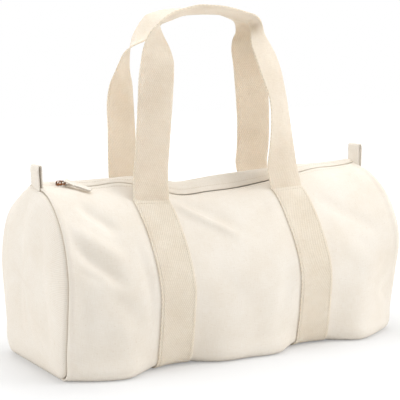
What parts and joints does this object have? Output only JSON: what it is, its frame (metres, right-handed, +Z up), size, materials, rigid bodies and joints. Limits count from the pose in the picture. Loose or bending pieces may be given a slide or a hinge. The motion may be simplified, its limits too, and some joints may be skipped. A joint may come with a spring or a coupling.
{
  "type": "barrel bag",
  "caption": "Soft cotton canvas barrel bag with a zipped mouth along its ridge, webbing loops sewn round it as carry handles and a folded tab at each end.",
  "frame": {"origin": "middle of the base on the floor, under the centre of the bounding box", "axes": "+X along the bag towards the end where the zip is fully open, -Y towards the side shown as the front, +Z up"},
  "size_m": [0.524, 0.232, 0.4573],
  "materials": {
    "canvas": "natural cotton canvas",
    "webbing": "ribbed cotton webbing",
    "tape": "cotton tape",
    "teeth": "matt",
    "metal": "antique copper plate"
  },
  "bodies": {
    "bag": {"body_panel": "canvas", "left_end_panel": "canvas", "right_end_panel": "canvas", "left_seam_binding": "tape", "right_seam_binding": "tape", "front_left_strap": "webbing", "front_right_strap": "webbing", "back_left_strap": "webbing", "back_right_strap": "webbing", "left_tab": "webbing", "right_tab": "webbing", "zip_end_tapes": "tape", "zip_end_teeth": "teeth", "zip_stops": "metal"},
    "front_mouth": {"front_lip": "canvas", "front_zip_tape": "tape", "front_zip_teeth": "teeth"},
    "back_mouth": {"back_lip": "canvas", "back_zip_tape": "tape", "back_zip_teeth": "teeth"},
    "slider": {"zip_slider": "metal", "slider_bail": "metal"},
    "ring": {"pull_ring": "metal"},
    "pull": {"pull_tape": "tape"},
    "front_loop": {"front_handle": "webbing"},
    "back_loop": {"back_handle": "webbing"}
  },
  "joints": [
    {"name": "zip_slide", "type": "slide", "parent": "bag", "child": "slider", "axis": [1, 0, 0], "range_m": [0, 0.425]},
    {"name": "ring_swing", "type": "hinge", "parent": "slider", "child": "ring", "pos_m": [-0.22, -0.012, 0.2369], "axis": [-0.5944, -0.7608, -0.2604], "range_deg": [0, 85]},
    {"name": "pull_swing", "type": "hinge", "parent": "ring", "child": "pull", "pos_m": [-0.21326, -0.01717, 0.23664], "axis": [-0.5944, -0.7608, -0.2604], "range_deg": [0, 40]},
    {"name": "front_lip_fold", "type": "hinge", "parent": "bag", "child": "front_mouth", "pos_m": [0, -0.04, 0.21267], "axis": [1, 0, 0], "range_deg": [0, 52]},
    {"name": "back_lip_fold", "type": "hinge", "parent": "bag", "child": "back_mouth", "pos_m": [0, 0.016, 0.21267], "axis": [-1, 0, 0], "range_deg": [0, 52]},
    {"name": "front_handle_fold", "type": "hinge", "parent": "bag", "child": "front_loop", "pos_m": [0, -0.04531, 0.21086], "axis": [1, 0, 0], "range_deg": [0, 110]},
    {"name": "back_handle_fold", "type": "hinge", "parent": "bag", "child": "back_loop", "pos_m": [0, 0.02119, 0.21095], "axis": [-1, 0, 0], "range_deg": [0, 110]}
  ]
}
